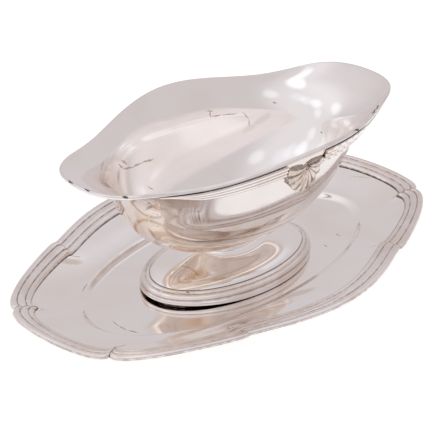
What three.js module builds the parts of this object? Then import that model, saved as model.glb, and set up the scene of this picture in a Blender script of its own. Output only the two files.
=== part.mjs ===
import * as THREE from 'three';
import { mergeVertices } from 'three/addons/utils/BufferGeometryUtils.js';

// A double-lipped sauce boat on an oval foot, standing loose on a shaped oval tray.
// Sizes are in millimetres. +X runs along the tray, +Z is up, and the tray stands on z = 0.

// Air left between pieces that touch or are soldered together
const seam = 0.3;

// Tray outline: eight lobes that meet in notches, the same at both ends and on both sides
const endNotchX = 125;
const endNotchY = 31.8;
const sideNotchX = 63;
const sideNotchY = 66.8;
const endBulge = 10.5;
const sideBulge = 15;
const cornerBulge = 6;
const cornerLean = 0.44;
const squareLobe = 0.43;
const softLobe = 1.2;
const lobeSteps = 10;

// Tray plate: a flat oval well, its wall and a rising flange
const plateThickness = 1.5;
const wellHalfLength = 101.5;
const wellHalfWidth = 47.5;
const wellDepth = 2.7;
const wellWallRun = 4.5;
const flangeRise = 5.1;
const flangeCurve = 1.25;
const flangeSlope = 0.21;

// Tray border: a reeded strip in eight mitred lengths, lapped over the edge of the plate
const borderWidth = 11.5;
const borderLip = 1.3;
const borderLipDrop = 0.8;
const borderOuterHeight = 0.6;
const borderInnerHeight = 0.6;
const borderReeds = [0.33, 0.38, 0.29];
const borderReedRise = 0.9;
const mitreRun = 0.92;
const mitreSlant = 0.45;
const sideMitreRun = 1.12;

// Boat's place on the tray, turned a little as it stands loose
const boatX = -3.9;
const boatY = -2.7;
const boatTurn = -3.5;

// Bowl: a deep oval body with a wide lip drawn out at each end
const bowlBottomHeight = 19.5;
const bodyHeight = 58;
const bodyHalfLength = 78.3;
const bodyHalfWidth = 45.1;
const endFullness = 2.09;
const sideFullness = 1.98;
const sideLip = { start: 0.77, slope: 53, rise: 0.28, reach: 0.2 };
const spoutLip = { start: 0.71, slope: 11, rise: 0.34, reach: 0.48 };
const startBlend = 2.5;
const lipBlend = 1.4;
const rimHalfLength = 108;
const rimHalfWidth = 53.6;
const rimWaist = 7;
const spoutFullness = 13.6;
const rimSideHeight = 87.2;
const rimWaistHeight = 81.7;
const rimSpoutHeight = 83;
const rimWaistAngle = 36;
const rimSpoutAngle = 60;
const bowlWall = 1.3;
const rimThickness = 2;
const rimBead = 0.6;

// Reeded mount under the rim, from each shell towards the spouts
const mountDrop = 1.6;
const mountHeight = 7.5;
const mountRise = 1.3;
const mountReeds = 3;
const mountEnd = 84;

// Scallop shell at the middle of each side
const shellReach = 19;
const shellHalfWidth = 13.5;
const shellDrop = 6.6;
const shellShift = 2;
const shellTilt = 3.6;
const shellHinge = 0.12;
const shellRibs = 9;
const shellRise = 2.4;
const shellRibDepth = 0.8;
const shellSpread = 98;

// Foot: a pressed dome with a short neck, and the moulded ring that it stands on
const footHalfLength = 55.6;
const footHalfWidth = 32.7;
const ringHeight = 7.5;
const ringWidth = 5;
const neckHalfLength = 20;
const neckHalfWidth = 12;
const domeRise = 4.6;
const footWall = 1.2;

const floorTop = plateThickness;
const crestHeight = floorTop + wellDepth;
const flangeTop = crestHeight + flangeRise;
const footBottom = floorTop + seam;
const mountStart = shellHalfWidth + 2 * seam;
const circle = 2 * Math.PI;

const silver = { color: 0xd8d0cc, metalness: 1, roughness: 0.18 };
const wornSilver = { color: 0xc9bfba, metalness: 1, roughness: 0.28 };

/** Eases from 0 to 1 as value goes from low to high. */
function ease(value, low, high) {
  const share = THREE.MathUtils.clamp((value - low) / (high - low), 0, 1);
  return share * share * (3 - 2 * share);
}

/** Turns a list of points and triangles into a closed geometry whose faces point out. */
function closedGeometry(points, triangles) {
  let volume = 0;
  for (const [a, b, c] of triangles) {
    volume += points[a].dot(new THREE.Vector3().crossVectors(points[b], points[c]));
  }
  const facing = volume < 0 ? triangles.map(([a, b, c]) => [a, c, b]) : triangles;
  const geometry = new THREE.BufferGeometry();
  geometry.setAttribute('position', new THREE.Float32BufferAttribute(points.flatMap((p) => p.toArray()), 3));
  geometry.setIndex(facing.flat());
  const merged = mergeVertices(geometry, 1e-4);
  merged.computeVertexNormals();
  return merged;
}

/** Joins neighbouring rings of points with triangles; every ring closes on itself. */
function bandsBetween(ringCount, perRing, wraps) {
  const triangles = [];
  const bands = wraps ? ringCount : ringCount - 1;
  for (let ring = 0; ring < bands; ring += 1) {
    const next = (ring + 1) % ringCount;
    for (let i = 0; i < perRing; i += 1) {
      const j = (i + 1) % perRing;
      const [a, b] = [ring * perRing + i, ring * perRing + j];
      const [c, d] = [next * perRing + j, next * perRing + i];
      triangles.push([a, b, c], [a, c, d]);
    }
  }
  return triangles;
}

/** A skin over rings that starts and ends in a centre point, as a plate or a bowl does. */
function dishGeometry(firstCentre, rings, lastCentre) {
  const perRing = rings[0].length;
  const points = [...rings.flat(), firstCentre, lastCentre];
  const triangles = bandsBetween(rings.length, perRing, false);
  const [first, last] = [points.length - 2, points.length - 1];
  const lastRing = (rings.length - 1) * perRing;
  for (let i = 0; i < perRing; i += 1) {
    const j = (i + 1) % perRing;
    triangles.push([first, j, i], [last, lastRing + i, lastRing + j]);
  }
  return closedGeometry(points, triangles);
}

/** A skin over rings that come back to the first one, as round a hoop. */
function hoopGeometry(rings) {
  return closedGeometry(rings.flat(), bandsBetween(rings.length, rings[0].length, true));
}

/** A bar through a run of cross-sections, with a flat cap on each end. */
function barGeometry(sections, outline) {
  const triangles = bandsBetween(sections.length, outline.length, false);
  const lastSection = (sections.length - 1) * outline.length;
  const turn = Math.sign(THREE.ShapeUtils.area(outline));
  for (const face of THREE.ShapeUtils.triangulateShape(outline, [])) {
    const sameTurn = Math.sign(THREE.ShapeUtils.area(face.map((i) => outline[i]))) === turn;
    const [a, b, c] = sameTurn ? face : [...face].reverse();
    triangles.push([c, b, a], [lastSection + a, lastSection + b, lastSection + c]);
  }
  return closedGeometry(sections.flat(), triangles);
}

/** Points round a level oval. */
function ovalRing(halfLength, halfWidth, height, steps) {
  return Array.from({ length: steps }, (_, i) => {
    const angle = (circle * i) / steps;
    return new THREE.Vector3(halfLength * Math.cos(angle), halfWidth * Math.sin(angle), height);
  });
}

// Tray outline

/** Notches in order round the tray, each drawn in by a depth along its mitre. */
function notches(depth) {
  const endX = endNotchX - mitreRun * depth;
  const endY = endNotchY - mitreSlant * depth;
  const sideY = sideNotchY - sideMitreRun * depth;
  const corners = [[endX, -endY], [endX, endY], [sideNotchX, sideY], [-sideNotchX, sideY],
    [-endX, endY], [-endX, -endY], [-sideNotchX, -sideY], [sideNotchX, -sideY]];
  return corners.map(([x, y]) => new THREE.Vector2(x, y));
}

/** Lobes in the same order: how far each bulges, how square it is and where it leans. */
const lobes = [
  { name: 'end_right', bulge: endBulge, power: squareLobe, lean: 0 },
  { name: 'corner_far_right', bulge: cornerBulge, power: squareLobe, lean: -cornerLean },
  { name: 'side_far', bulge: sideBulge, power: softLobe, lean: 0 },
  { name: 'corner_far_left', bulge: cornerBulge, power: squareLobe, lean: cornerLean },
  { name: 'end_left', bulge: endBulge, power: squareLobe, lean: 0 },
  { name: 'corner_near_left', bulge: cornerBulge, power: squareLobe, lean: -cornerLean },
  { name: 'side_near', bulge: sideBulge, power: softLobe, lean: 0 },
  { name: 'corner_near_right', bulge: cornerBulge, power: squareLobe, lean: cornerLean },
];

/** Point on one lobe, a share of the way from its first notch to its second. */
function lobePoint(index, depth, share) {
  const corners = notches(depth);
  const [from, to] = [corners[index], corners[(index + 1) % corners.length]];
  const { bulge, power, lean } = lobes[index];
  const along = to.clone().sub(from);
  const outward = new THREE.Vector2(along.y, -along.x).normalize();
  const swell = bulge * Math.pow(4 * share * (1 - share), power) * (1 + lean * (2 * share - 1));
  return from.clone().addScaledVector(along, share).addScaledVector(outward, swell);
}

/** Shares of the way along a lobe, closer together near the notches. */
function lobeShare(step) {
  return (1 - Math.cos((Math.PI * step) / lobeSteps)) / 2;
}

/** Whole outline at a depth inside the edge. */
function trayOutline(depth) {
  const steps = Array.from({ length: lobeSteps }, (_, step) => lobeShare(step));
  return lobes.flatMap((_, index) => steps.map((share) => lobePoint(index, depth, share)));
}

/** Height of the plate's upper face under the border, at a depth inside the edge. */
function plateHeightAt(depth) {
  return flangeTop + flangeSlope * (borderWidth - depth);
}

// Tray

function trayPlate() {
  const inner = trayOutline(borderWidth);
  const edge = trayOutline(borderLip + seam);
  const toOval = (halfLength, halfWidth, height) => inner.map((p) => {
    const angle = Math.atan2(p.y / wellHalfWidth, p.x / wellHalfLength);
    return new THREE.Vector3(halfLength * Math.cos(angle), halfWidth * Math.sin(angle), height);
  });
  const crest = toOval(wellHalfLength, wellHalfWidth, crestHeight);
  const onFlange = (share) => inner.map((p, i) => {
    const level = new THREE.Vector3(p.x, p.y, crestHeight).sub(crest[i]).multiplyScalar(share).add(crest[i]);
    return level.setZ(crestHeight + flangeRise * Math.pow(share, flangeCurve));
  });
  const wall = (share) => {
    const back = wellWallRun * (1 - share);
    return toOval(wellHalfLength - back, wellHalfWidth - back, floorTop + wellDepth * ease(share, -0.1, 1.1));
  };
  const top = [
    wall(-0.1).map((p) => p.setZ(floorTop)),
    wall(0.3),
    wall(0.7),
    onFlange(0.04),
    onFlange(0.3),
    onFlange(0.65),
    onFlange(1),
    edge.map((p) => new THREE.Vector3(p.x, p.y, plateHeightAt(borderLip))),
  ];
  const bottom = top.map((ring) => ring.map((p) => p.clone().setZ(p.z - plateThickness))).reverse();
  return dishGeometry(new THREE.Vector3(0, 0, floorTop), [...top, ...bottom], new THREE.Vector3(0, 0, 0));
}

/** Section of the border as depth inside the edge and height, from the outer lip over the reeds. */
function borderSection() {
  const outerTop = plateHeightAt(borderLip) + borderOuterHeight;
  const innerTop = flangeTop + borderInnerHeight;
  const lipBottom = plateHeightAt(borderLip) - borderLipDrop;
  const section = [new THREE.Vector2(0.4, lipBottom), new THREE.Vector2(0, lipBottom + 0.5)];
  let start = 0;
  borderReeds.forEach((share, reed) => {
    const end = start + share;
    const rise = borderReedRise * (reed === 0 ? 1 : 0.7);
    for (let step = reed === 0 ? 0 : 1; step <= 4; step += 1) {
      const along = start + (share * step) / 4;
      const arch = rise * Math.sin((Math.PI * step) / 4);
      section.push(new THREE.Vector2(along * borderWidth, outerTop + (innerTop - outerTop) * along ** 3 + arch));
    }
    start = end;
  });
  section.push(new THREE.Vector2(borderWidth, flangeTop + seam));
  section.push(new THREE.Vector2(borderLip, plateHeightAt(borderLip) + seam));
  section.push(new THREE.Vector2(borderLip, lipBottom));
  return section;
}

/** One length of the border, its mitred ends half a seam short of the notches. */
function borderLength(index) {
  const section = borderSection();
  const sections = [];
  for (let step = 0; step <= lobeSteps; step += 1) {
    const share = lobeShare(step);
    const inset = step === 0 ? seam / 2 : step === lobeSteps ? -seam / 2 : 0;
    sections.push(section.map((s) => {
      const corners = notches(s.x);
      const along = corners[(index + 1) % corners.length].clone().sub(corners[index]).normalize();
      const p = lobePoint(index, s.x, share).addScaledVector(along, inset);
      return new THREE.Vector3(p.x, p.y, s.y);
    }));
  }
  return barGeometry(sections, section);
}

// Bowl

/** Rim point at an angle from the middle of the far side, growing towards the +X spout. */
function rimPoint(angle) {
  const end = Math.abs(Math.sin(angle));
  const width = rimHalfWidth + spoutFullness * Math.pow(end, 8) - rimWaist * Math.pow(Math.sin(2 * angle), 2);
  const fromSide = THREE.MathUtils.radToDeg(Math.asin(Math.min(end, 1)));
  const toWaist = rimSideHeight + (rimWaistHeight - rimSideHeight) * ease(fromSide, 0, rimWaistAngle);
  const height = toWaist + (rimSpoutHeight - rimWaistHeight) * ease(fromSide, rimWaistAngle, rimSpoutAngle);
  return new THREE.Vector3(rimHalfLength * Math.sin(angle), width * Math.cos(angle), height);
}

/** Share of the body's half-width or half-length at a share of its height. */
function bodyShare(heightShare, fullness) {
  return Math.pow(1 - Math.pow(1 - heightShare, fullness), 1 / fullness);
}

/** Point of the rounded body at an angle and a share of its height. */
function bodyPoint(angle, heightShare) {
  return new THREE.Vector3(
    bodyHalfLength * bodyShare(heightShare, endFullness) * Math.sin(angle),
    bodyHalfWidth * bodyShare(heightShare, sideFullness) * Math.cos(angle),
    bowlBottomHeight + bodyHeight * heightShare,
  );
}

/** Outer skin of the bowl: level 0 to 1 up the body, 1 to 2 out over the lip to the rim. */
function skinPoint(angle, level) {
  const endShare = Math.abs(Math.sin(angle));
  const lipStart = THREE.MathUtils.lerp(sideLip.start, spoutLip.start, Math.pow(endShare, startBlend));
  if (level <= 1) return bodyPoint(angle, lipStart * Math.pow(level, 1.6));
  const start = bodyPoint(angle, lipStart);
  const rim = rimPoint(angle);
  const upBody = start.clone().sub(bodyPoint(angle, lipStart - 1e-3)).normalize();
  const spoutShare = Math.pow(endShare, lipBlend);
  const slope = THREE.MathUtils.degToRad(THREE.MathUtils.lerp(sideLip.slope, spoutLip.slope, spoutShare));
  const overRim = rim.clone().sub(start).setZ(0).setLength(Math.cos(slope)).setZ(Math.sin(slope));
  const length = rim.distanceTo(start);
  const rise = length * THREE.MathUtils.lerp(sideLip.rise, spoutLip.rise, spoutShare);
  const reach = length * THREE.MathUtils.lerp(sideLip.reach, spoutLip.reach, spoutShare);
  const first = start.clone().addScaledVector(upBody, rise);
  const second = rim.clone().addScaledVector(overRim, -reach);
  return new THREE.CubicBezierCurve3(start, first, second, rim).getPoint(level - 1);
}

/** Outward normal of the bowl's outer skin. */
function skinNormal(angle, level) {
  const step = 1e-3;
  const low = Math.max(level - step, 1e-4);
  const high = Math.min(level + step, 2);
  const across = skinPoint(angle + step, level).sub(skinPoint(angle - step, level));
  const up = skinPoint(angle, high).sub(skinPoint(angle, low));
  return up.cross(across).normalize();
}

/** Wall of the bowl at a level, thicker close to the rim. */
function wallAt(level) {
  return bowlWall + (rimThickness - bowlWall) * ease(level, 1.7, 2);
}

function bowl() {
  const steps = 60;
  const levels = [0.1, 0.22, 0.36, 0.5, 0.65, 0.8, 1, 1.17, 1.34, 1.5, 1.67, 1.84, 2];
  const angles = Array.from({ length: steps }, (_, i) => (circle * i) / steps);
  const skin = (level, depth) => angles.map(
    (angle) => skinPoint(angle, level).addScaledVector(skinNormal(angle, level), -depth),
  );
  const outer = levels.map((level) => skin(level, 0));
  const inner = levels.map((level) => skin(level, wallAt(level)));
  const edge = outer.at(-1).map((p, i) => {
    const outward = new THREE.Vector3(p.x, p.y, 0).normalize();
    return p.clone().lerp(inner.at(-1)[i], 0.5).addScaledVector(outward, rimBead);
  });
  const rings = [...outer, edge, ...inner.reverse()];
  const bottom = new THREE.Vector3(0, 0, bowlBottomHeight);
  const inside = new THREE.Vector3(0, 0, bowlBottomHeight + bowlWall);
  return dishGeometry(bottom, rings, inside);
}

/** Level of the skin at a distance down from the rim, measured along the lip. */
function levelBelowRim(angle, distance) {
  const stride = 0.02;
  let level = 2;
  let travelled = 0;
  let last = skinPoint(angle, level);
  while (level > 2 * stride) {
    const next = skinPoint(angle, level - stride);
    const length = next.distanceTo(last);
    if (travelled + length >= distance) {
      return level - (stride * (distance - travelled)) / length;
    }
    travelled += length;
    level -= stride;
    last = next;
  }
  return level;
}

/** Reeded mount on one quarter of the bowl, from the shell to where it dies into the lip. */
function rimMount(sideX, sideY) {
  const stations = 12;
  const rows = 3 * mountReeds;
  const outline = [];
  for (let row = 0; row <= rows; row += 1) {
    const reed = Math.abs(Math.sin((Math.PI * mountReeds * row) / rows));
    outline.push(new THREE.Vector2(row / rows, seam + mountRise * (0.35 + 0.65 * reed)));
  }
  outline.push(new THREE.Vector2(1, seam), new THREE.Vector2(0, seam));
  const sections = [];
  for (let station = 0; station <= stations; station += 1) {
    const share = station / stations;
    const x = THREE.MathUtils.lerp(mountStart + shellShift * sideX * sideY, mountEnd, share);
    const quarter = Math.asin(x / rimHalfLength);
    const fade = 1 - ease(share, 0.7, 1) * 0.75;
    sections.push(outline.map((o) => {
      const level = levelBelowRim(quarter, mountDrop + mountHeight * o.x * fade);
      const lift = seam + (o.y - seam) * fade;
      const p = skinPoint(quarter, level).addScaledVector(skinNormal(quarter, level), lift);
      return p.multiply(new THREE.Vector3(sideX, sideY, 1));
    }));
  }
  return barGeometry(sections, outline);
}

/** Point of the far side's skin with a given place along the boat and drop from the rim. */
function sidePoint(x, drop, lift) {
  const angle = Math.asin(x / rimHalfLength);
  const level = levelBelowRim(angle, drop);
  const [p, normal] = [skinPoint(angle, level), skinNormal(angle, level)];
  return p.addScaledVector(normal, lift);
}

/** Scallop shell: ribs spread from a hinge under the rim, over a back that follows the bowl. */
function scallop(sideY) {
  const spokes = shellRibs * 4;
  const rows = 5;
  const spread = THREE.MathUtils.degToRad(shellSpread);
  const front = [];
  const back = [];
  for (let row = 0; row <= rows; row += 1) {
    const out = row / rows;
    const frontRow = [];
    const backRow = [];
    for (let spoke = 0; spoke <= spokes; spoke += 1) {
      const angle = THREE.MathUtils.lerp(-spread, spread, spoke / spokes);
      const rib = Math.abs(Math.sin((Math.PI * shellRibs * spoke) / spokes));
      const reach = THREE.MathUtils.lerp(shellHinge, 1, out) * (1 - 0.05 * (1 - rib) * out);
      const x = shellShift * sideY + shellHalfWidth * reach * Math.sin(angle);
      const down = reach * Math.max(Math.cos(angle), -shellHinge);
      const drop = shellDrop + shellReach * down;
      const dome = 0.35 + 0.65 * Math.sin(Math.PI * (0.15 + 0.8 * out));
      const ribbed = shellRibDepth * (1 - rib) * THREE.MathUtils.lerp(0.3, 1, out);
      const lift = seam + shellRise * dome + shellTilt * Math.max(down, 0) - ribbed;
      frontRow.push(sidePoint(x, drop, lift));
      backRow.push(sidePoint(x, drop, seam));
    }
    front.push(frontRow);
    back.push(backRow);
  }
  const points = [...front.flat(), ...back.flat()];
  const wide = spokes + 1;
  const backStart = front.flat().length;
  const triangles = [];
  for (let row = 0; row < rows; row += 1) {
    for (let spoke = 0; spoke < spokes; spoke += 1) {
      const [a, b] = [row * wide + spoke, row * wide + spoke + 1];
      const [c, d] = [b + wide, a + wide];
      triangles.push([a, b, c], [a, c, d]);
      triangles.push([backStart + a, backStart + c, backStart + b]);
      triangles.push([backStart + a, backStart + d, backStart + c]);
    }
  }
  const border = [];
  for (let spoke = 0; spoke < spokes; spoke += 1) border.push(spoke);
  for (let row = 0; row < rows; row += 1) border.push(row * wide + spokes);
  for (let spoke = spokes; spoke > 0; spoke -= 1) border.push(rows * wide + spoke);
  for (let row = rows; row > 0; row -= 1) border.push(row * wide);
  border.forEach((a, k) => {
    const b = border[(k + 1) % border.length];
    triangles.push([b, a, backStart + a], [b, backStart + a, backStart + b]);
  });
  points.forEach((p) => p.setY(p.y * sideY));
  return closedGeometry(points, triangles);
}

// Foot

/** Height of the bowl's underside over a point of the plan. */
function undersideHeight(x, y) {
  let [low, high] = [1e-6, 1];
  for (let i = 0; i < 40; i += 1) {
    const middle = (low + high) / 2;
    const halfLength = bodyHalfLength * bodyShare(middle, endFullness);
    const halfWidth = bodyHalfWidth * bodyShare(middle, sideFullness);
    const inside = Math.hypot(x / halfLength, y / halfWidth) < 1;
    [low, high] = inside ? [low, middle] : [middle, high];
  }
  return bowlBottomHeight + bodyHeight * low;
}

/** Dome and neck: the pressed shell between the ring and the underside of the bowl. */
function foot() {
  const steps = 48;
  const ringTop = footBottom + ringHeight;
  const [startLength, startWidth] = [footHalfLength - ringWidth, footHalfWidth - ringWidth];
  const domeCurve = new THREE.CubicBezierCurve(
    new THREE.Vector2(0, ringTop),
    new THREE.Vector2(0.55, ringTop + domeRise * 1.25),
    new THREE.Vector2(1, ringTop + domeRise * 0.7),
    new THREE.Vector2(1, bowlBottomHeight - 1),
  );
  const shellRing = (share, inset, height) => ovalRing(
    THREE.MathUtils.lerp(startLength, neckHalfLength, share) - inset,
    THREE.MathUtils.lerp(startWidth, neckHalfWidth, share) - inset,
    height,
    steps,
  );
  const flange = footBottom + 0.6;
  const outer = [shellRing(0, seam, flange), shellRing(0, seam, ringTop - 0.6)];
  for (const t of [0.02, 0.15, 0.3, 0.45, 0.6, 0.75, 0.88, 1]) {
    const p = domeCurve.getPoint(t);
    outer.push(shellRing(p.x, 0, p.y));
  }
  const toUnderside = (ring) => ring.map((p) => p.setZ(undersideHeight(p.x, p.y) - seam));
  const lipOut = toUnderside(shellRing(1, 0, 0));
  const lipIn = toUnderside(shellRing(1, footWall, 0));
  const inner = [];
  for (const t of [0.96, 0.8, 0.6, 0.4, 0.2, 0.05]) {
    const p = domeCurve.getPoint(t);
    const steep = ease(t, 0.5, 0.95);
    inner.push(shellRing(p.x, footWall * steep, p.y - footWall * (1 - steep)));
  }
  inner.push(shellRing(0, seam + footWall, ringTop - 0.6 - footWall));
  inner.push(shellRing(0, seam + footWall, flange));
  return hoopGeometry([...outer, lipOut, lipIn, ...inner]);
}

/** Ring of the foot: its moulding from the inside bottom outwards, in shares of its width and height. */
function footRing() {
  const steps = 48;
  const moulding = [
    [1, 0], [0.08, 0], [0, 0.07], [0.04, 0.39],
    [0.18, 0.44], [0.18, 0.49],
    [0.14, 0.59], [0.26, 0.75], [0.5, 0.84],
    [0.6, 0.84], [0.68, 0.92], [0.84, 0.99], [1, 1],
  ];
  return hoopGeometry(moulding.map(([inward, upward]) => {
    const inset = ringWidth * inward;
    return ovalRing(footHalfLength - inset, footHalfWidth - inset, footBottom + ringHeight * upward, steps);
  }));
}

// Assembly

function piece(name, geometry, look) {
  const mesh = new THREE.Mesh(geometry, new THREE.MeshStandardMaterial(look));
  mesh.name = name;
  return mesh;
}

const stand = new THREE.Group();
stand.add(piece('tray_plate', trayPlate(), silver));
lobes.forEach((lobe, index) => stand.add(piece(`tray_border_${lobe.name}`, borderLength(index), wornSilver)));

const boat = new THREE.Group();
boat.position.set(boatX, boatY, 0);
boat.rotation.z = THREE.MathUtils.degToRad(boatTurn);
boat.add(piece('bowl', bowl(), silver));
boat.add(piece('foot', foot(), silver));
boat.add(piece('foot_ring', footRing(), silver));
for (const [side, sideY] of [['far', 1], ['near', -1]]) {
  boat.add(piece(`shell_${side}`, scallop(sideY), wornSilver));
  boat.add(piece(`rim_mount_${side}_right`, rimMount(1, sideY), wornSilver));
  boat.add(piece(`rim_mount_${side}_left`, rimMount(-1, sideY), wornSilver));
}

const sauceBoatWithStand = new THREE.Group();
sauceBoatWithStand.add(stand, boat);

export default sauceBoatWithStand;
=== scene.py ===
import math

import bpy
import numpy as np
from mathutils import Matrix, Vector
from mathutils.bvhtree import BVHTree


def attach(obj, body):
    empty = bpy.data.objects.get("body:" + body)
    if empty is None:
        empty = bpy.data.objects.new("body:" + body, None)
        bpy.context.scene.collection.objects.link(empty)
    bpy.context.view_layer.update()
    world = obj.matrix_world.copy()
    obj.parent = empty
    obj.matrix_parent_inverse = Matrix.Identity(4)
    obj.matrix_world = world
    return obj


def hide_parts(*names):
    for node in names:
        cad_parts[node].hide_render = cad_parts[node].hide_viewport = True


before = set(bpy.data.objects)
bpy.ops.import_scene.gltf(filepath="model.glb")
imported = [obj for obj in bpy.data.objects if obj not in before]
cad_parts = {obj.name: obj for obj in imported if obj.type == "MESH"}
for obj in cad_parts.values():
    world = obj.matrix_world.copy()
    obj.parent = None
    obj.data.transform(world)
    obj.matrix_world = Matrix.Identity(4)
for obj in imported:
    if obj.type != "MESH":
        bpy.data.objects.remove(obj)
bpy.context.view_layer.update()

MM = 0.001
TAU = 2 * math.pi


# Camera, solved from the outlines of the tray, the rim and the foot ring in the photograph

AZ, EL, ROLL = math.radians(-50.51), math.radians(27.46), math.radians(2.61)
FRAME, FOCAL = 432, 1946.64
TARGET, DISTANCE = (-21.25, -8.07, 40.0), 997.74
back = Vector((math.sin(AZ) * math.cos(EL), -math.cos(AZ) * math.cos(EL), math.sin(EL)))
eye = Vector(TARGET) * MM + back * DISTANCE * MM
right = (-back).cross(Vector((0, 0, 1))).normalized()
up = right.cross(-back)
right_rolled = right * math.cos(ROLL) + up * math.sin(ROLL)
up_rolled = up * math.cos(ROLL) - right * math.sin(ROLL)
lens = bpy.data.cameras.new("camera")
lens.sensor_width = 36
lens.sensor_fit = "HORIZONTAL"
lens.lens = FOCAL / FRAME * lens.sensor_width
lens.clip_start = 0.05
lens.clip_end = 20
camera = bpy.data.objects.new("camera", lens)
bpy.context.scene.collection.objects.link(camera)
turn = Matrix((right_rolled, up_rolled, back)).transposed().to_4x4()
camera.matrix_world = Matrix.Translation(eye) @ turn
bpy.context.scene.camera = camera
bpy.context.scene.view_settings.view_transform = "Standard"
# The polished inside of the bowl mirrors itself many times
bpy.context.scene.cycles.glossy_bounces = 12


# Shapes, in millimetres, from the same sizes as the solids unless a comment says otherwise

def ease(value, low, high):
    t = np.clip((np.asarray(value, float) - low) / (high - low), 0, 1)
    return t * t * (3 - 2 * t)


def grid(rows, columns, wrap_rows=False):
    """Four-sided faces between closed rings of points."""
    faces = []
    for r in range(rows if wrap_rows else rows - 1):
        s = (r + 1) % rows
        for c in range(columns):
            d = (c + 1) % columns
            faces.append((r * columns + c, r * columns + d, s * columns + d, s * columns + c))
    return faces


def piece(name, points, faces, body, node, material, sharp=38, **amounts):
    """A mesh from points in millimetres that stands for a CAD node and rides on its body.

    The amounts are groove, warm and flat: how much dirt (and, in the foot's hollow and on the foot
    ring's underside, painted shade), tarnish and straightened, slightly darkened wall a point has.
    """
    v = np.asarray(points, float) * MM
    mesh = bpy.data.meshes.new(name)
    mesh.from_pydata(v.tolist(), [], faces)
    mesh.calc_loop_triangles()
    tri = np.array([t.vertices[:] for t in mesh.loop_triangles])
    volume = np.einsum("ij,ij->i", v[tri[:, 0]], np.cross(v[tri[:, 1]], v[tri[:, 2]])).sum()
    if volume < 0:
        mesh.flip_normals()
    for key in ("groove", "warm", "flat"):
        if key in amounts:
            layer = mesh.attributes.new(key, "FLOAT", "POINT")
            layer.data.foreach_set("value", np.asarray(amounts[key], np.float32).ravel())
    mesh.polygons.foreach_set("use_smooth", [True] * len(mesh.polygons))
    mesh.set_sharp_from_angle(angle=math.radians(sharp))
    mesh.validate()
    mesh.update()
    obj = bpy.data.objects.new(name, mesh)
    bpy.context.scene.collection.objects.link(obj)
    obj.data.materials.append(material)
    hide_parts(node)
    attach(obj, body)


def dish(first, rings, last):
    """Points and faces of a skin that starts and ends in a centre point."""
    columns = len(rings[0])
    points = np.concatenate([np.concatenate(rings), [first], [last]])
    faces = grid(len(rings), columns)
    a, b = len(points) - 2, len(points) - 1
    base = (len(rings) - 1) * columns
    for c in range(columns):
        d = (c + 1) % columns
        faces.append((a, d, c))
        faces.append((b, base + c, base + d))
    return points, faces


def hoop(rings):
    """A skin whose last ring joins its first."""
    return np.concatenate(rings), grid(len(rings), len(rings[0]), wrap_rows=True)


def bar(sections):
    """A skin through open-ended cross-sections, with an n-gon on each end."""
    columns = len(sections[0])
    faces = grid(len(sections), columns)
    faces.append(tuple(reversed(range(columns))))
    base = (len(sections) - 1) * columns
    faces.append(tuple(base + c for c in range(columns)))
    return np.concatenate(sections), faces


def at_height(plan, height):
    plan = np.asarray(plan, float)
    return np.column_stack([plan[:, 0], plan[:, 1], np.broadcast_to(height, len(plan))])


# Tray

PLATE = 1.5
FLOOR = PLATE
WALL_RISE, FLANGE_RISE, FLANGE_CURVE = 2.7, 5.1, 1.25
CREST = FLOOR + WALL_RISE
FLANGE_TOP = CREST + FLANGE_RISE
WELL_LENGTH, WELL_WIDTH, WALL_RUN = 101.5, 47.5, 4.5
BORDER, BORDER_LEAN = 11.5, 0.21
LIP = 1.3
BORDER_LIFT, REED_RISE = 0.6, 0.9
NOTCH_X, NOTCH_Y, SIDE_NOTCH_X, SIDE_NOTCH_Y = 125, 31.8, 63, 66.8
REEDS = (0.33, 0.38, 0.29)
# Each length of the border: its name, how far it bulges, how round the bulge is and where it leans
LOBES = [
    ("end_right", 10.5, 0.43, 0.0),
    ("corner_far_right", 6.0, 0.43, -0.44),
    ("side_far", 15.0, 1.2, 0.0),
    ("corner_far_left", 6.0, 0.43, 0.44),
    ("end_left", 10.5, 0.43, 0.0),
    ("corner_near_left", 6.0, 0.43, -0.44),
    ("side_near", 15.0, 1.2, 0.0),
    ("corner_near_right", 6.0, 0.43, 0.44),
]


def notches(depth):
    """The eight corners where the border's lengths meet, at a depth in from the edge."""
    x, y = NOTCH_X - 0.92 * depth, NOTCH_Y - 0.45 * depth
    side_x, side_y = SIDE_NOTCH_X, SIDE_NOTCH_Y - 1.12 * depth
    return np.array([[x, -y], [x, y], [side_x, side_y], [-side_x, side_y],
                     [-x, y], [-x, -y], [-side_x, -side_y], [side_x, -side_y]])


def lobe(index, depth, t):
    corners = notches(depth)
    a, b = corners[index], corners[(index + 1) % 8]
    along = b - a
    out = np.array([along[1], -along[0]]) / np.hypot(*along)
    _, bulge, power, lean = LOBES[index]
    swell = bulge * (4 * t * (1 - t)) ** power * (1 + lean * (2 * t - 1))
    return a + np.outer(t, along) + np.outer(swell, out)


def shares(steps):
    """Shares from 0 to 1 that lie closer together at both ends."""
    return (1 - np.cos(np.pi * np.arange(steps + 1) / steps)) / 2


def plate_height(depth):
    return FLANGE_TOP + BORDER_LEAN * (BORDER - depth)


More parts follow.
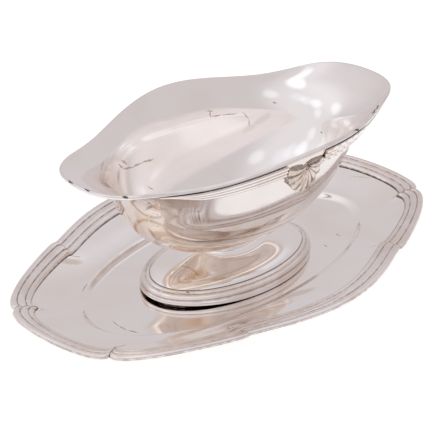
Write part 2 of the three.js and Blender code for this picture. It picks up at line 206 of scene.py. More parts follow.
def tray_plate(material):
    steps = 40
    t = shares(steps)[:-1]
    inner = np.concatenate([lobe(i, BORDER, t) for i in range(8)])
    edge = np.concatenate([lobe(i, LIP + 0.3, t) for i in range(8)])
    smooth = inner.copy()
    for _ in range(60):
        smooth = 0.5 * smooth + 0.25 * (np.roll(smooth, 1, 0) + np.roll(smooth, -1, 0))
    angle = np.arctan2(inner[:, 1] / WELL_WIDTH, inner[:, 0] / WELL_LENGTH)

    def ellipse(a, b):
        return np.column_stack([a * np.cos(angle), b * np.sin(angle)])

    flat_length, flat_width = WELL_LENGTH - WALL_RUN, WELL_WIDTH - WALL_RUN
    rings = [at_height(ellipse(flat_length * k, flat_width * k), FLOOR)
             for k in (0.2, 0.45, 0.7, 0.88)]
    for k in np.linspace(-0.1, 1, 16):
        inset = WALL_RUN * (1 - k)
        height = FLOOR + WALL_RISE * float(ease(k, -0.1, 1.1))
        rings.append(at_height(ellipse(WELL_LENGTH - inset, WELL_WIDTH - inset), height))
    crest = ellipse(WELL_LENGTH, WELL_WIDTH)
    for k in np.concatenate([[0.02, 0.05], np.linspace(0.1, 1, 22)]):
        sharp = float(ease(k, 0.5, 1))
        goal = smooth + (inner - smooth) * sharp
        height = CREST + FLANGE_RISE * k ** FLANGE_CURVE
        rings.append(at_height(crest + (goal - crest) * k, height))
    for k in (0.3, 0.65, 1.0):
        height = plate_height(BORDER - k * (BORDER - LIP))
        rings.append(at_height(inner + (edge - inner) * k, height))
    under = [ring - [0, 0, PLATE] for ring in rings[::2]] + [rings[-1] - [0, 0, PLATE]]
    points, faces = dish([0, 0, FLOOR], rings + under[::-1], [0, 0, 0])
    piece("tray_plate_skin", points, faces, "stand", "tray_plate", material)


def border_section():
    """Depth, height and dirt round the border's cross-section: an outer face and three reeds."""
    outer_top = plate_height(LIP) + BORDER_LIFT
    inner_top = FLANGE_TOP + BORDER_LIFT
    low = plate_height(LIP) - 0.8
    section = [(0.75, low, 0.9), (0.35, low + 0.08, 0.9),
               (0.1, low + 0.3, 0.75), (0.0, low + 0.62, 0.6)]
    start = 0.0
    for reed, share in enumerate(REEDS):
        rise = REED_RISE * (1 if reed == 0 else 0.7)
        for k in range(0 if reed == 0 else 1, 13):
            if reed == 0 and k == 0:
                section.append((0.0, outer_top - 0.25, 0.45))
                continue
            along = start + share * k / 12
            arch = rise * abs(math.sin(math.pi * k / 12)) ** 0.75
            beside = k == 11 or (k == 1 and reed > 0)
            valley = 1.0 if k == 12 else (0.25 if beside else 0.0)
            height = outer_top + (inner_top - outer_top) * along ** 3 + arch
            section.append((along * BORDER, height, valley))
        start += share
    section += [(BORDER, FLANGE_TOP + 0.3, 0.6), (LIP, plate_height(LIP) + 0.3, 0.0),
                (LIP, low, 0.0)]
    return section


def tray_border(index, material):
    section = border_section()
    steps = 44
    t = shares(steps)
    columns = []
    for depth, height, _ in section:
        plan = lobe(index, depth, t)
        corners = notches(depth)
        along = corners[(index + 1) % 8] - corners[index]
        along = along / np.hypot(*along)
        plan[0] += along * 0.05
        plan[-1] -= along * 0.05
        columns.append(at_height(plan, height))
    sections = [np.array([column[k] for column in columns]) for k in range(steps + 1)]
    points, faces = bar(sections)
    valley = np.array([s[2] for s in section])
    ends = np.zeros(steps + 1)
    ends[[0, -1]] = 0.9
    groove = np.maximum(np.tile(valley, steps + 1), np.repeat(ends, len(section)))
    name = LOBES[index][0]
    piece("border_" + name, points, faces, "stand", "tray_border_" + name, material,
          sharp=50, groove=groove)


# Boat

TURN = math.radians(-3.5)
PLACE = np.array([-3.9, -2.7, 0.0])
BOTTOM, BODY = 19.5, 58.0
HALF_LENGTH, HALF_WIDTH = 78.3, 45.1
END_FULLNESS, SIDE_FULLNESS = 2.09, 1.98
RIM_LENGTH, RIM_WIDTH, RIM_HEIGHT = 108.0, 53.6, 87.2
SPOUT_SWELL, SPOUT_LIFT, WAIST, WAIST_DIP = 13.6, 1.3, 7, 5.5
BOWL_WALL, RIM_WALL, BEAD = 1.3, 2.0, 0.58
# The lip: where it starts up the body, its slope at the rim in degrees, and the reach of the
# curve's two handles. The outside is straighter than the solid's and stands up to 1.7 mm further
# out, so that the near wall mirrors what the photograph's does.
SPOUT = (0.71, 11, 0.34, 0.48)
INSIDE = (0.77, 53, 0.28, 0.2)
OUTSIDE = (0.56, 69.5, 0.33, 0.33)


def placed(points):
    """Points of the boat, turned and moved to where it stands in the well."""
    x, y, z = np.asarray(points, float).T
    c, s = math.cos(TURN), math.sin(TURN)
    return np.column_stack([x * c - y * s, x * s + y * c, z]) + PLACE


def rim(angle):
    """The rim's line; angle 0 is the middle of the far side, a quarter turn the right spout."""
    s = np.abs(np.sin(angle))
    width = RIM_WIDTH + SPOUT_SWELL * s ** 8 - WAIST * np.sin(2 * angle) ** 2
    side = np.degrees(np.arcsin(np.clip(s, 0, 1)))
    height = RIM_HEIGHT - WAIST_DIP * ease(side, 0, 36) + SPOUT_LIFT * ease(side, 36, 60)
    return np.stack([RIM_LENGTH * np.sin(angle), width * np.cos(angle), height], -1)


def body_share(h, fullness):
    return (1 - (1 - h) ** fullness) ** (1 / fullness)


def body_point(angle, h):
    """A point of the belly at a share h of its full height."""
    return np.stack([HALF_LENGTH * body_share(h, END_FULLNESS) * np.sin(angle),
                     HALF_WIDTH * body_share(h, SIDE_FULLNESS) * np.cos(angle),
                     BOTTOM + BODY * h], -1)


def unit(v):
    return v / np.linalg.norm(v, axis=-1, keepdims=True)


def skin(angle, level, side=OUTSIDE):
    """Skin of the bowl: level 0 to 1 up the body, 1 to 2 over the lip to the rim.

    side gives the lip of the long sides, and SPOUT that of the ends.
    """
    angle, level = np.broadcast_arrays(np.asarray(angle, float), np.asarray(level, float))
    end = np.abs(np.sin(angle))
    lip_start = side[0] + (SPOUT[0] - side[0]) * end ** 2.5
    low = body_point(angle, lip_start * np.clip(level, 0, 1) ** 1.6)
    start = body_point(angle, lip_start)
    rise = unit(start - body_point(angle, lip_start - 1e-3))
    top = rim(angle)
    reach = np.linalg.norm(top - start, axis=-1, keepdims=True)
    blend = (end ** 1.4)[..., None]
    steep = np.radians(side[1] + (SPOUT[1] - side[1]) * blend)
    level_out = unit((top - start) * [1, 1, 0])
    out = level_out * np.cos(steep) + np.array([0, 0, 1.0]) * np.sin(steep)
    first = start + rise * reach * (side[2] + (SPOUT[2] - side[2]) * blend)
    second = top - out * reach * (side[3] + (SPOUT[3] - side[3]) * blend)
    k = np.clip(level - 1, 0, 1)[..., None]
    lip = (start * (1 - k) ** 3 + first * 3 * k * (1 - k) ** 2
           + second * 3 * k * k * (1 - k) + top * k ** 3)
    return np.where(level[..., None] <= 1, low, lip)


def skin_normal(angle, level, side=OUTSIDE):
    step = 1e-3
    angle, level = np.broadcast_arrays(np.asarray(angle, float), np.asarray(level, float))
    across = skin(angle + step, level, side) - skin(angle - step, level, side)
    above, below = np.minimum(level + step, 2), np.maximum(level - step, 1e-4)
    upwards = skin(angle, above, side) - skin(angle, below, side)
    return unit(np.cross(upwards, across))


def bowl(material):
    steps = 240
    angle = TAU * np.arange(steps) / steps
    levels = np.concatenate([np.linspace(0.05, 1, 34), np.linspace(1.03, 1.9, 26),
                             [1.94, 1.97, 1.99]])

    def wall(level):
        return BOWL_WALL + (RIM_WALL - BOWL_WALL) * float(ease(level, 1.7, 2))

    outer = [skin(angle, v) for v in levels]
    inner = [skin(angle, v, INSIDE) - skin_normal(angle, v, INSIDE) * wall(v) for v in levels]
    top, top_in = outer[-1], inner[-1]
    out = top * [1, 1, 0]
    out = out / np.linalg.norm(out, axis=1, keepdims=True)
    bead = []
    for k in range(1, 8):
        a = math.pi * k / 8
        mid = (top + top_in) / 2
        bead.append(mid + (top - mid) * math.cos(a) + out * BEAD * math.sin(a))
    rings = outer + bead + inner[::-1]
    points, faces = dish([0, 0, BOTTOM], rings, [0, 0, BOTTOM + BOWL_WALL])
    groove, warm, flat = np.zeros((3, len(points)))
    start = (len(outer) - 1) * steps
    groove[start:start + (len(bead) + 2) * steps] = 0.12
    leftward = 0.55 + 0.45 * ease(-np.sin(angle), -0.1, 0.6)
    sideward = ease(np.abs(np.cos(angle)), 0.42, 0.72)
    for k, level in enumerate(levels):
        ring = slice(k * steps, (k + 1) * steps)
        warm[ring] = float(1 - ease(level, 0.75, 1.35)) * leftward
        flat[ring] = sideward * float(ease(level, 0.45, 0.95))
    warm[-2] = 1
    piece("bowl_skin", placed(points), faces, "boat", "bowl", material,
          sharp=60, groove=groove, warm=warm, flat=flat)


def level_below_rim(angle, distance):
    """Levels at distances down the lip, measured along the outer skin."""
    levels = np.linspace(2, 0.4, 241)
    path = skin(angle[:, None], levels[None])
    length = np.linalg.norm(np.diff(path, axis=1), axis=-1)
    total = np.concatenate([np.zeros((len(angle), 1)), np.cumsum(length, 1)], 1)
    return np.array([np.interp(d, t, levels) for d, t in zip(distance, total)])


def on_side(spots):
    """Points of the far side from x along the boat, drop from the rim and lift off the skin."""
    x, drop, lift = np.asarray(spots, float).T
    angle = np.arcsin(x / RIM_LENGTH)
    level = level_below_rim(angle, drop)
    return skin(angle, level) + skin_normal(angle, level) * lift[:, None]


MOUNT_DROP, MOUNT_HEIGHT, MOUNT_RISE, MOUNT_END = 1.6, 7.5, 1.3, 84
LEAF_LENGTH = 7.5
# The shells reach down a fifth less than the solids' do, as in the photograph
SHELL_WIDTH, SHELL_REACH, SHELL_DROP, SHELL_SHIFT = 13.5, 0.78 * 19.0, 6.6, 2.0
FLUTES = 9


def rim_mount(side_x, side_y, material):
    """Reeds under the rim; on the near right and the far left they run in leafy waves."""
    wavy = side_x * side_y < 0
    stations, rows = 150, 30
    x0 = SHELL_WIDTH + 0.6 + SHELL_SHIFT * side_x * side_y
    spots, groove = [], []
    for station in range(stations + 1):
        share = station / stations
        x = x0 + (MOUNT_END - x0) * share
        fade = 1 - float(ease(share, 0.7, 1)) * 0.75
        wave = math.sin(x * TAU / LEAF_LENGTH) if wavy else 0.0
        leafy = float(ease(share, 0, 0.05) * (1 - ease(share, 0.55, 0.8)))
        for k in range(rows + 1):
            o = k / rows
            reed = abs(math.sin(math.pi * (3 * o + 0.22 * wave * leafy * math.sin(math.pi * o))))
            height = (1 - 0.16 * leafy * wave) if wavy else 1.0
            full = (0.3 + 0.7 * reed ** 0.8) * (1 + 0.25 * wave * leafy * o) * 0.96
            lift = 0.3 + MOUNT_RISE * full
            drop = MOUNT_DROP + MOUNT_HEIGHT * o * fade * height
            spots.append((x, drop, 0.3 + (lift - 0.3) * fade))
            groove.append(float(0.3 * (1 - ease(reed, 0.0, 0.4))))
        spots += [(x, MOUNT_DROP + MOUNT_HEIGHT * fade, 0.3), (x, MOUNT_DROP, 0.3)]
        groove += [0.2, 0.12]
    wide = rows + 3
    points = on_side(spots) * [side_x, side_y, 1]
    points, faces = bar(points.reshape(stations + 1, wide, 3))
    name = ("far" if side_y > 0 else "near") + "_" + ("right" if side_x > 0 else "left")
    piece("mount_" + name, placed(points), faces, "boat", "rim_mount_" + name, material,
          groove=groove)


def scallop(side_y, material):
    """A domed shell with flutes that fan out from its top."""
    spokes, rows = FLUTES * 14, 22
    spread = math.radians(98)
    front, back, groove = [], [], []
    for row in range(rows + 1):
        out = row / rows
        for spoke in range(spokes + 1):
            angle = -spread + 2 * spread * spoke / spokes
            rib = abs(math.sin(math.pi * FLUTES * spoke / spokes))
            reach = (0.12 + 0.88 * out) * (1 - 0.05 * (1 - rib) * out)
            x = SHELL_SHIFT * side_y + SHELL_WIDTH * reach * math.sin(angle)
            down = reach * max(math.cos(angle), -0.12)
            drop = SHELL_DROP + SHELL_REACH * down
            dome = 0.35 + 0.65 * math.sin(math.pi * (0.15 + 0.8 * out))
            valley = 0.9 * (1 - rib ** 0.8) * (0.3 + 0.7 * out)
            lift = 0.3 + 2.35 * dome + 3.55 * max(down, 0) - valley
            front.append((x, drop, lift))
            back.append((x, drop, 0.1))
            groove.append(0.3 + 0.7 * float(1 - ease(rib, 0.05, 0.6)))
    wide = spokes + 1
    points = on_side(front + back) * [1, side_y, 1]
    base = len(front)
    faces = []
    for r in range(rows):
        for c in range(spokes):
            a, b = r * wide + c, r * wide + c + 1
            faces.append((a, b, b + wide, a + wide))
            faces.append((base + a, base + a + wide, base + b + wide, base + b))
    loop = list(range(spokes)) + [r * wide + spokes for r in range(rows)]
    loop += [rows * wide + c for c in range(spokes, 0, -1)]
    loop += [r * wide for r in range(rows, 0, -1)]
    for k, a in enumerate(loop):
        b = loop[(k + 1) % len(loop)]
        faces.append((b, a, base + a, base + b))
    name = "shell_far" if side_y > 0 else "shell_near"
    piece(name + "_skin", placed(points), faces, "boat", name, material,
          groove=groove + [0.1] * base, warm=[1.0] * (2 * base))


FOOT_LENGTH, FOOT_WIDTH = 55.6, 32.7
FOOT_BOTTOM = FLOOR + 0.3
RING_TOP = FOOT_BOTTOM + 7.5
RING_WIDTH = 5
NECK_LENGTH, NECK_WIDTH = 20.0, 12.0
FOOT_WALL = 1.2
RING_GAP = 1.3
FOOT_STEPS = 200


def oval(a, b, z):
    t = TAU * np.arange(FOOT_STEPS) / FOOT_STEPS
    return np.column_stack([a * np.cos(t), b * np.sin(t), np.broadcast_to(z, FOOT_STEPS)])


def underside(points):
    """Heights of the belly's skin over the given points, by halving."""
    x, y = points[:, 0], points[:, 1]
    low, high = np.full(len(x), 1e-6), np.ones(len(x))
    for _ in range(40):
        mid = (low + high) / 2
        length = HALF_LENGTH * body_share(mid, END_FULLNESS)
        width = HALF_WIDTH * body_share(mid, SIDE_FULLNESS)
        inside = np.hypot(x / length, y / width) < 1
        low, high = np.where(inside, low, mid), np.where(inside, mid, high)
    return BOTTOM + BODY * low


def foot(material):
    """Dome and neck, hollow from below; the hollow is painted dark as shade, through the groove
    amount.
    """
    control = np.array([(0, RING_TOP), (0.3, RING_TOP + 6.0), (0.86, RING_TOP + 2.6),
                        (1, BOTTOM - 1)])
    a0, b0 = FOOT_LENGTH - RING_WIDTH, FOOT_WIDTH - RING_WIDTH

    def curve(t):
        w = np.array([(1 - t) ** 3, 3 * t * (1 - t) ** 2, 3 * t * t * (1 - t), t ** 3])
        return w @ control

    def ring(share, inset, z):
        return oval(a0 + (NECK_LENGTH - a0) * share - inset,
                    b0 + (NECK_WIDTH - b0) * share - inset, z)

    outer = [ring(0, 0.3, FOOT_BOTTOM + 0.6), ring(0, 0.3, RING_TOP - 0.6)]
    for t in np.linspace(0.01, 1, 36):
        share, z = curve(t)
        outer.append(ring(share, 0, z))
    lip_out = ring(1, 0, 0)
    lip_out[:, 2] = underside(lip_out) - 0.1
    lip_in = ring(1, FOOT_WALL, 0)
    lip_in[:, 2] = underside(lip_in) - 0.1
    inner = []
    for t in (0.96, 0.8, 0.6, 0.4, 0.2, 0.05):
        share, z = curve(t)
        steep = float(ease(t, 0.5, 0.95))
        inner.append(ring(share, FOOT_WALL * steep, z - FOOT_WALL * (1 - steep)))
    inner += [ring(0, 1.5, RING_TOP - 1.8), ring(0, 1.5, FOOT_BOTTOM + 0.6)]
    rings = outer + [lip_out, lip_in] + inner
    points, faces = hoop(rings)
    # The hollow's inside gets full groove: painted shade
    groove = np.repeat([0.0] * (len(outer) + 1) + [1.0] * (len(inner) + 1), FOOT_STEPS)
    piece("foot_skin", placed(points), faces, "boat", "foot", material, sharp=50, groove=groove)


def foot_ring(material):
    """Moulded ring: a base band, a groove, a half-round and a fillet.

    The profile gives inset, height and dirt; the dark of the underside is painted shade in the gap
    over the well, with some dirt. On the left the band's lower edge stands a little above the well,
    which the solid's doesn't.
    """
    # The first two points are the underside: painted shade in the gap over the well, with some dirt
    profile = [(RING_WIDTH, 0, 1), (0.5, 0, 1), (0.15, 0.12, 0.3), (0, 0.4, 0), (0.02, 1.4, 0),
               (0.1, 2.8, 0), (0.25, 3.2, 0.1), (0.55, 3.4, 0.5), (0.6, 3.5, 0.5), (0.5, 3.6, 0.1)]
    for k in range(11):
        a = math.pi * (0.05 + 0.6 * k / 10)
        inset = 2.6 - 2.05 * math.sin(a + 0.35) + 0.2 * k / 10
        profile.append((inset, 3.7 + 2.6 * (1 - math.cos(a)) / 1.6, 0))
    profile += [(2.75, 6.5, 0.3), (2.95, 6.45, 0.6), (3.15, 6.55, 0.3), (3.5, 6.95, 0),
                (4.1, 7.35, 0), (4.55, 7.48, 0), (4.85, 7.45, 0.4), (RING_WIDTH, 7.4, 0.5)]
    t = np.degrees(TAU * np.arange(FOOT_STEPS) / FOOT_STEPS)
    gap = RING_GAP * ease(t, 135, 180) * ease(t, 262, 196)
    rings = []
    for inset, height, _ in profile:
        ring = oval(FOOT_LENGTH - inset, FOOT_WIDTH - inset, FOOT_BOTTOM + height)
        ring[:, 2] += gap * max(0.0, 1 - height / 3)
        rings.append(ring)
    points, faces = hoop(rings)
    groove = np.repeat([g for _, _, g in profile], FOOT_STEPS)
    piece("foot_ring_skin", placed(points), faces, "boat", "foot_ring", material,
          sharp=60, groove=groove)


# Materials

# Dirt in the grooves, and painted shade in the foot's hollow and on the foot ring's underside; the
# long side walls are also darkened a little towards this colour
DIRT_AND_SHADE = (0.13, 0.085, 0.06)
# The shader takes the side walls for more upright than the mesh has them: between these heights,
# in metres, their relief falls back by LEAN
LEAN_FROM, LEAN_TO, LEAN = 0.038, 0.088, 0.0064
# How far the scratches' outlines are shaken, in metres
SHAKE = 0.0016


def empty_material(name):
    material = bpy.data.materials.new(name)
    material.use_nodes = True
    material.node_tree.nodes.clear()
    return material


def silver(material, marks, *, clean, warm, rough, tarnish, grooves, relief, grain):
    """Silver plate: warm tarnish in soft patches, dirt in the grooves and painted shade in the
    foot's hollow and on the foot ring's underside, a slight darkening of the long side walls, and
    the given marks.
    """
    tree = material.node_tree
    new, link = tree.nodes.new, tree.links.new
    out = new("ShaderNodeOutputMaterial")
    shader = new("ShaderNodeBsdfPrincipled")
    shader.inputs["Metallic"].default_value = 1.0
    link(shader.outputs[0], out.inputs["Surface"])
    place = new("ShaderNodeTexCoord")

    def noise(scale, detail, rough_amount=0.5, distortion=0.0, fac=True):
        node = new("ShaderNodeTexNoise")
        node.inputs["Scale"].default_value = scale
        node.inputs["Detail"].default_value = detail
        node.inputs["Roughness"].default_value = rough_amount
        node.inputs["Distortion"].default_value = distortion
        link(place.outputs["Object"], node.inputs["Vector"])
        return node.outputs["Fac"] if fac else node.outputs["Color"]

    def ramp(source, low, high, low_value=0.0, high_value=1.0):
        node = new("ShaderNodeMapRange")
        node.inputs["From Min"].default_value = low
        node.inputs["From Max"].default_value = high
        node.inputs["To Min"].default_value = low_value
        node.inputs["To Max"].default_value = high_value
        link(source, node.inputs["Value"])
        return node.outputs["Result"]

    def amount(name):
        node = new("ShaderNodeAttribute")
        node.attribute_name = name
        return node.outputs["Fac"]

    def mix(factor, a, b):
        node = new("ShaderNodeMix")
        node.data_type = "RGBA"
        link(factor, node.inputs["Factor"])
        for socket, value in ((node.inputs[6], a), (node.inputs[7], b)):
            if isinstance(value, tuple):
                socket.default_value = (*value, 1)
            else:
                link(value, socket)
        return node.outputs[2]

    def times(a, b):
        node = new("ShaderNodeMath")
        node.operation = "MULTIPLY"
        for socket, value in ((node.inputs[0], a), (node.inputs[1], b)):
            if isinstance(value, float):
                socket.default_value = value
            else:
                link(value, socket)
        return node.outputs[0]

    def larger(a, b):
        node = new("ShaderNodeMath")
        node.operation = "MAXIMUM"
        link(a, node.inputs[0])
        link(b, node.inputs[1])
        return node.outputs[0]

    patches = ramp(noise(22, 4, 0.55, 0.6), 0.45, 0.75, 0.0, tarnish)
    streaks = ramp(noise(60, 3, 0.6, 1.5), 0.35, 0.6, 0.25, 1.0)
    colour = mix(larger(patches, times(amount("warm"), streaks)), clean, warm)
    broken = ramp(noise(grain, 3), 0.4, 0.6, 0.38, 1.0)
    # Dirt in the grooves; in the foot's hollow and on the foot ring's underside this is painted
    # shade
    colour = mix(times(times(amount("groove"), broken), grooves), colour, DIRT_AND_SHADE)
    flat = amount("flat")
    # The long side walls are darkened a little towards this colour, by up to 16%, which dims their
    # reflections
    colour = mix(times(flat, 0.16), colour, DIRT_AND_SHADE)
    shake = new("ShaderNodeVectorMath")
    shake.operation = "MULTIPLY_ADD"
    link(noise(450, 2, fac=False), shake.inputs[0])
    shake.inputs[1].default_value = (SHAKE, SHAKE, SHAKE)
    link(place.outputs["Object"], shake.inputs[2])
    for (middle, turn, half), stain_and_reflection, strength in marks:
        local = new("ShaderNodeMapping")
        local.vector_type = "TEXTURE"
        link(shake.outputs[0], local.inputs["Vector"])
        local.inputs["Location"].default_value = [v + SHAKE / 2 for v in middle]
        local.inputs["Rotation"].default_value = turn
        local.inputs["Scale"].default_value = half
        size = new("ShaderNodeVectorMath")
        size.operation = "LENGTH"
        link(local.outputs[0], size.inputs[0])
        colour = mix(ramp(size.outputs["Value"], 1.1, 0.5, 0.0, strength), colour, stain_and_reflection)
    link(colour, shader.inputs["Base Color"])
    link(ramp(noise(70, 5), 0.35, 0.75, rough, rough + 0.08), shader.inputs["Roughness"])
    bump = new("ShaderNodeBump")
    bump.inputs["Strength"].default_value = relief
    bump.inputs["Distance"].default_value = MM
    link(noise(45, 2), bump.inputs["Height"])
    height = new("ShaderNodeSeparateXYZ")
    link(place.outputs["Object"], height.inputs[0])
    fall = ramp(height.outputs["Z"], LEAN_FROM, LEAN_TO, 0.0, -LEAN)
    lean = new("ShaderNodeBump")
    lean.inputs["Strength"].default_value = 1.0
    lean.inputs["Distance"].default_value = 1.0
    link(times(flat, fall), lean.inputs["Height"])
    link(lean.outputs["Normal"], bump.inputs["Normal"])
    link(bump.outputs["Normal"], shader.inputs["Normal"])


polished = empty_material("polished_silver_plate")
worn = empty_material("worn_silver_plate")

tray_plate(polished)
for number in range(8):
    tray_border(number, worn)
bowl(polished)
foot(polished)
foot_ring(worn)
for side in (1, -1):
    scallop(side, worn)
    rim_mount(1, side, worn)
    rim_mount(-1, side, worn)


# Scratches, nicks and stains, and one painted reflection: where each runs in the photograph's
# frame, from one end to the other, its width in millimetres, its colour and its strength

DARK, BROWN, TAN = (0.10, 0.08, 0.07), (0.36, 0.27, 0.20), (0.72, 0.60, 0.50)
MARKS = [
    ("bowl_skin", [(68.5, 180), (72.5, 183.5)], 1.2, DARK, 1.0),
    ("bowl_skin", [(84, 188.5), (90, 191)], 1.0, DARK, 1.0),
    ("bowl_skin", [(123, 196.5), (127, 197)], 1.4, DARK, 1.0),
    ("bowl_skin", [(372, 114), (376, 109), (379, 105)], 0.9, DARK, 0.9),
    ("bowl_skin", [(355, 130.5), (359, 129.5)], 1.3, DARK, 1.0),
    ("bowl_skin", [(209, 111), (211, 117), (222, 115), (237, 114)], 0.7, BROWN, 0.9),
    ("bowl_skin", [(206, 111), (213, 111)], 0.6, BROWN, 0.8),
    ("bowl_skin", [(243, 112), (249, 119), (249, 126)], 0.8, BROWN, 0.55),
    ("bowl_skin", [(273, 102), (276, 103)], 0.8, DARK, 0.9),
    ("bowl_skin", [(320.5, 132), (322, 133)], 0.7, DARK, 0.9),
    ("bowl_skin", [(118, 164), (124, 169), (133, 167), (141, 163), (154, 159)], 1.3, BROWN, 0.75),
    ("bowl_skin", [(122, 161), (127, 164)], 1.6, BROWN, 0.6),
    ("bowl_skin", [(148, 186), (153, 190)], 1.0, BROWN, 0.8),
    ("bowl_skin", [(119, 172), (118, 182), (122, 193)], 3.4, TAN, 0.9),
    ("bowl_skin", [(104, 160), (101, 172), (102, 184)], 1.6, TAN, 0.8),
    ("bowl_skin", [(244, 132), (258, 122), (270, 114)], 4.0, TAN, 0.35),
    ("bowl_skin", [(251, 232), (262, 227), (270, 221), (287, 213)], 1.3, BROWN, 1.0),
    ("bowl_skin", [(199, 214), (200, 220)], 0.7, BROWN, 0.9),
    ("bowl_skin", [(117, 203), (122, 218), (130, 232)], 3.5, TAN, 0.6),
    ("bowl_skin", [(137, 213), (143, 232), (152, 243)], 5.0, TAN, 0.65),
    ("bowl_skin", [(147, 205), (165, 209), (176, 217)], 4.5, TAN, 0.6),
    ("bowl_skin", [(166, 228), (178, 242), (200, 248)], 5.0, TAN, 0.5),
    ("bowl_skin", [(127, 214), (131, 222)], 0.7, BROWN, 0.8),
    ("tray_plate_skin", [(112, 321), (119, 326), (126, 330), (139, 333)], 0.7, BROWN, 0.95),
    ("tray_plate_skin", [(61, 261), (79, 262)], 5.5, TAN, 0.8),
    # Painted reflection: the tan band along the far left wall of the well
    ("tray_plate_skin", [(90, 289), (97, 277), (108, 265), (122, 254), (140, 243)], 3.0, TAN, 0.6),
    ("tray_plate_skin", [(273, 302), (290, 296), (312, 289)], 7.0, TAN, 0.7),
    ("tray_plate_skin", [(228, 325), (262, 315)], 9.0, TAN, 0.5),
    ("tray_plate_skin", [(336, 234), (340, 236)], 1.0, BROWN, 0.8),
    ("tray_plate_skin", [(324, 245), (327, 247)], 0.9, BROWN, 0.7),
    ("tray_plate_skin", [(385, 168), (398, 174)], 1.2, TAN, 0.9),
    ("tray_plate_skin", [(350, 176), (372, 178)], 1.0, TAN, 0.8),
    ("tray_plate_skin", [(82, 292), (87, 283)], 0.7, BROWN, 0.7),
    ("foot_skin", [(166, 285), (171, 272), (180, 266), (191, 268), (199, 276)], 1.6, TAN, 0.9),
    ("foot_skin", [(176, 283), (188, 281)], 5.0, TAN, 0.6),
    ("foot_skin", [(208, 281), (232, 278), (262, 270)], 2.6, TAN, 0.8),
    ("foot_skin", [(186, 262), (187, 263)], 0.7, BROWN, 0.9),
    ("foot_ring_skin", [(187, 292), (188.5, 293)], 0.9, DARK, 0.9),
    ("mount_near_right", [(296, 164), (306, 159), (315, 154)], 0.8, BROWN, 0.9),
    ("mount_near_right", [(318, 152), (325, 148), (336, 143)], 0.7, DARK, 0.8),
    ("border_corner_near_left", [(92, 352), (103, 356), (112, 357)], 1.8, DARK, 0.75),
    ("border_side_near", [(113, 357), (124, 358)], 1.4, BROWN, 0.8),
    ("border_side_near", [(160, 349), (172, 347)], 1.2, BROWN, 0.7),
    ("border_side_near", [(215, 341), (246, 335)], 1.6, BROWN, 0.7),
    ("border_corner_near_right", [(255, 332), (262, 330)], 1.0, DARK, 0.6),
    ("border_corner_near_right", [(286, 322), (312, 312)], 1.6, BROWN, 0.8),
]


def on_photo(tree, x, y):
    """Point and normal of a surface where the camera sees it at a place in the frame."""
    ray = (right_rolled * (x - FRAME / 2) + up_rolled * (FRAME / 2 - y)) / FOCAL - back
    point, normal, _, _ = tree.ray_cast(eye, ray.normalized())
    return point, normal


# In metres: a stroke longer than this has slipped off its piece, and how deep a stroke colours
LONGEST, DEPTH = 0.04, 0.0011


def strokes():
    """The marks of each material, as flat ellipsoids on the skin: middle, turn and half sizes."""
    trees, found = {}, {polished.name: [], worn.name: []}
    for name, pixels, width, stain_and_reflection, strength in MARKS:
        mesh = bpy.data.objects[name].data
        if name not in trees:
            trees[name] = BVHTree.FromPolygons([v.co for v in mesh.vertices],
                                               [p.vertices[:] for p in mesh.polygons])
        hits = [on_photo(trees[name], *pixel) for pixel in pixels]
        for (a, up_a), (b, up_b) in zip(hits, hits[1:]):
            if a is None or b is None or (b - a).length > LONGEST:
                continue
            along = (b - a).normalized()
            face = (up_a + up_b).normalized()
            across = face.cross(along).normalized()
            turn = Matrix((along, across, along.cross(across))).transposed().to_euler()
            half = ((b - a).length / 2 + width * MM / 2, width * MM / 2, DEPTH)
            found[mesh.materials[0].name].append((((a + b) / 2, turn, half), stain_and_reflection, strength))
    return found


found = strokes()
silver(polished, found[polished.name], clean=(0.93, 0.885, 0.86), warm=(0.84, 0.73, 0.62),
       rough=0.06, tarnish=0.35, grooves=0.9, relief=0.06, grain=160)
silver(worn, found[worn.name], clean=(0.90, 0.84, 0.81), warm=(0.70, 0.58, 0.50),
       rough=0.13, tarnish=0.8, grooves=0.95, relief=0.35, grain=330)


# Studio

def bright_floor(name, colour, glow):
    """Matt floor with a little glow of its own for the rays that see it, so that it reads white."""
    material = empty_material(name)
    tree = material.node_tree
    new, link = tree.nodes.new, tree.links.new
    out = new("ShaderNodeOutputMaterial")
    diffuse = new("ShaderNodeBsdfDiffuse")
    diffuse.inputs["Color"].default_value = (*colour, 1)
    path = new("ShaderNodeLightPath")

    def math_node(operation, first):
        node = new("ShaderNodeMath")
        node.operation = operation
        link(first, node.inputs[0])
        return node

    either = math_node("MAXIMUM", path.outputs["Is Camera Ray"])
    link(path.outputs["Is Glossy Ray"], either.inputs[1])
    any_of = math_node("MAXIMUM", either.outputs[0])
    link(path.outputs["Is Transmission Ray"], any_of.inputs[1])
    strength = math_node("MULTIPLY", any_of.outputs[0])
    strength.inputs[1].default_value = glow
    emission = new("ShaderNodeEmission")
    link(strength.outputs[0], emission.inputs["Strength"])
    add = new("ShaderNodeAddShader")
    link(diffuse.outputs[0], add.inputs[0])
    link(emission.outputs[0], add.inputs[1])
    link(add.outputs[0], out.inputs["Surface"])
    return material


FLOOR_REACH, FLOOR_BELOW = 3, 0.0004
floor_mesh = bpy.data.meshes.new("floor")
floor_mesh.from_pydata([(x * FLOOR_REACH, y * FLOOR_REACH, 0) for x, y in
                        ((-1, -1), (1, -1), (1, 1), (-1, 1))], [], [(0, 1, 2, 3)])
floor = bpy.data.objects.new("floor", floor_mesh)
floor.location.z = -FLOOR_BELOW
bpy.context.scene.collection.objects.link(floor)
floor.data.materials.append(bright_floor("floor_white", (0.5, 0.5, 0.5), 0.7))


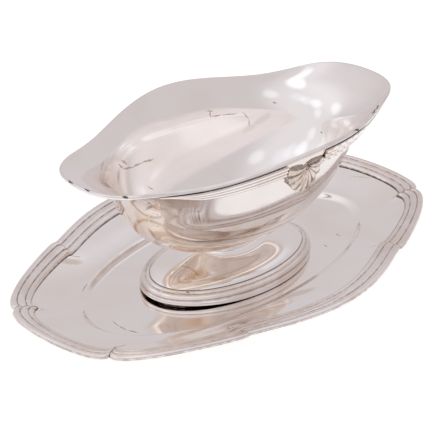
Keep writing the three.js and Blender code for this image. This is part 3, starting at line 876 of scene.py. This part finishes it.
def compass(azimuth, elevation):
    """Unit vector by the compass angle from +Y towards +X and the height angle, in degrees."""
    a, e = math.radians(azimuth), math.radians(elevation)
    return (math.sin(a) * math.cos(e), math.cos(a) * math.cos(e), math.sin(e))


# Soft light from all round, and brighter patches of it: direction, colour added, and the radii in
# degrees where the patch is full and where it ends
SKY = (0.665, 0.635, 0.655)
LAMPS = [
    ((-95, 45), (0.16, 0.18, 0.19), 35, 70),
    ((-18, 60), (0.08, 0.08, 0.09), 18, 52),
    ((-35, 34), (0.20, 0.23, 0.25), 3, 14),
    ((-86, 46), (0.22, 0.26, 0.27), 2, 13),
    ((-81, 27), (0.14, 0.17, 0.18), 1, 11),
    ((-110, 51), (0.12, 0.14, 0.16), 3, 12),
    ((-130, 54), (0.09, 0.11, 0.13), 3, 12),
    ((-179, 76), (0.33, 0.39, 0.40), 2, 13),
    ((-168, 43), (0.16, 0.18, 0.19), 2, 9),
    ((98, 56), (0.14, 0.16, 0.19), 13, 32),
]

world = bpy.data.worlds.new("studio")
bpy.context.scene.world = world
world.use_nodes = True
sky = world.node_tree
background = sky.nodes["Background"]
background.inputs["Strength"].default_value = 1.0
direction = sky.nodes.new("ShaderNodeTexCoord").outputs["Generated"]
light = None
for place, colour, inner, outer in LAMPS:
    dot = sky.nodes.new("ShaderNodeVectorMath")
    dot.operation = "DOT_PRODUCT"
    sky.links.new(direction, dot.inputs[0])
    dot.inputs[1].default_value = compass(*place)
    soft = sky.nodes.new("ShaderNodeMapRange")
    soft.interpolation_type = "SMOOTHSTEP"
    soft.inputs["From Min"].default_value = math.cos(math.radians(outer))
    soft.inputs["From Max"].default_value = math.cos(math.radians(inner))
    sky.links.new(dot.outputs["Value"], soft.inputs["Value"])
    patch = sky.nodes.new("ShaderNodeVectorMath")
    patch.operation = "SCALE"
    patch.inputs[0].default_value = colour
    sky.links.new(soft.outputs["Result"], patch.inputs["Scale"])
    add = sky.nodes.new("ShaderNodeVectorMath")
    add.operation = "ADD"
    sky.links.new(patch.outputs[0], add.inputs[0])
    if light is None:
        add.inputs[1].default_value = SKY
    else:
        sky.links.new(light, add.inputs[1])
    light = add.outputs[0]
sky.links.new(light, background.inputs["Color"])
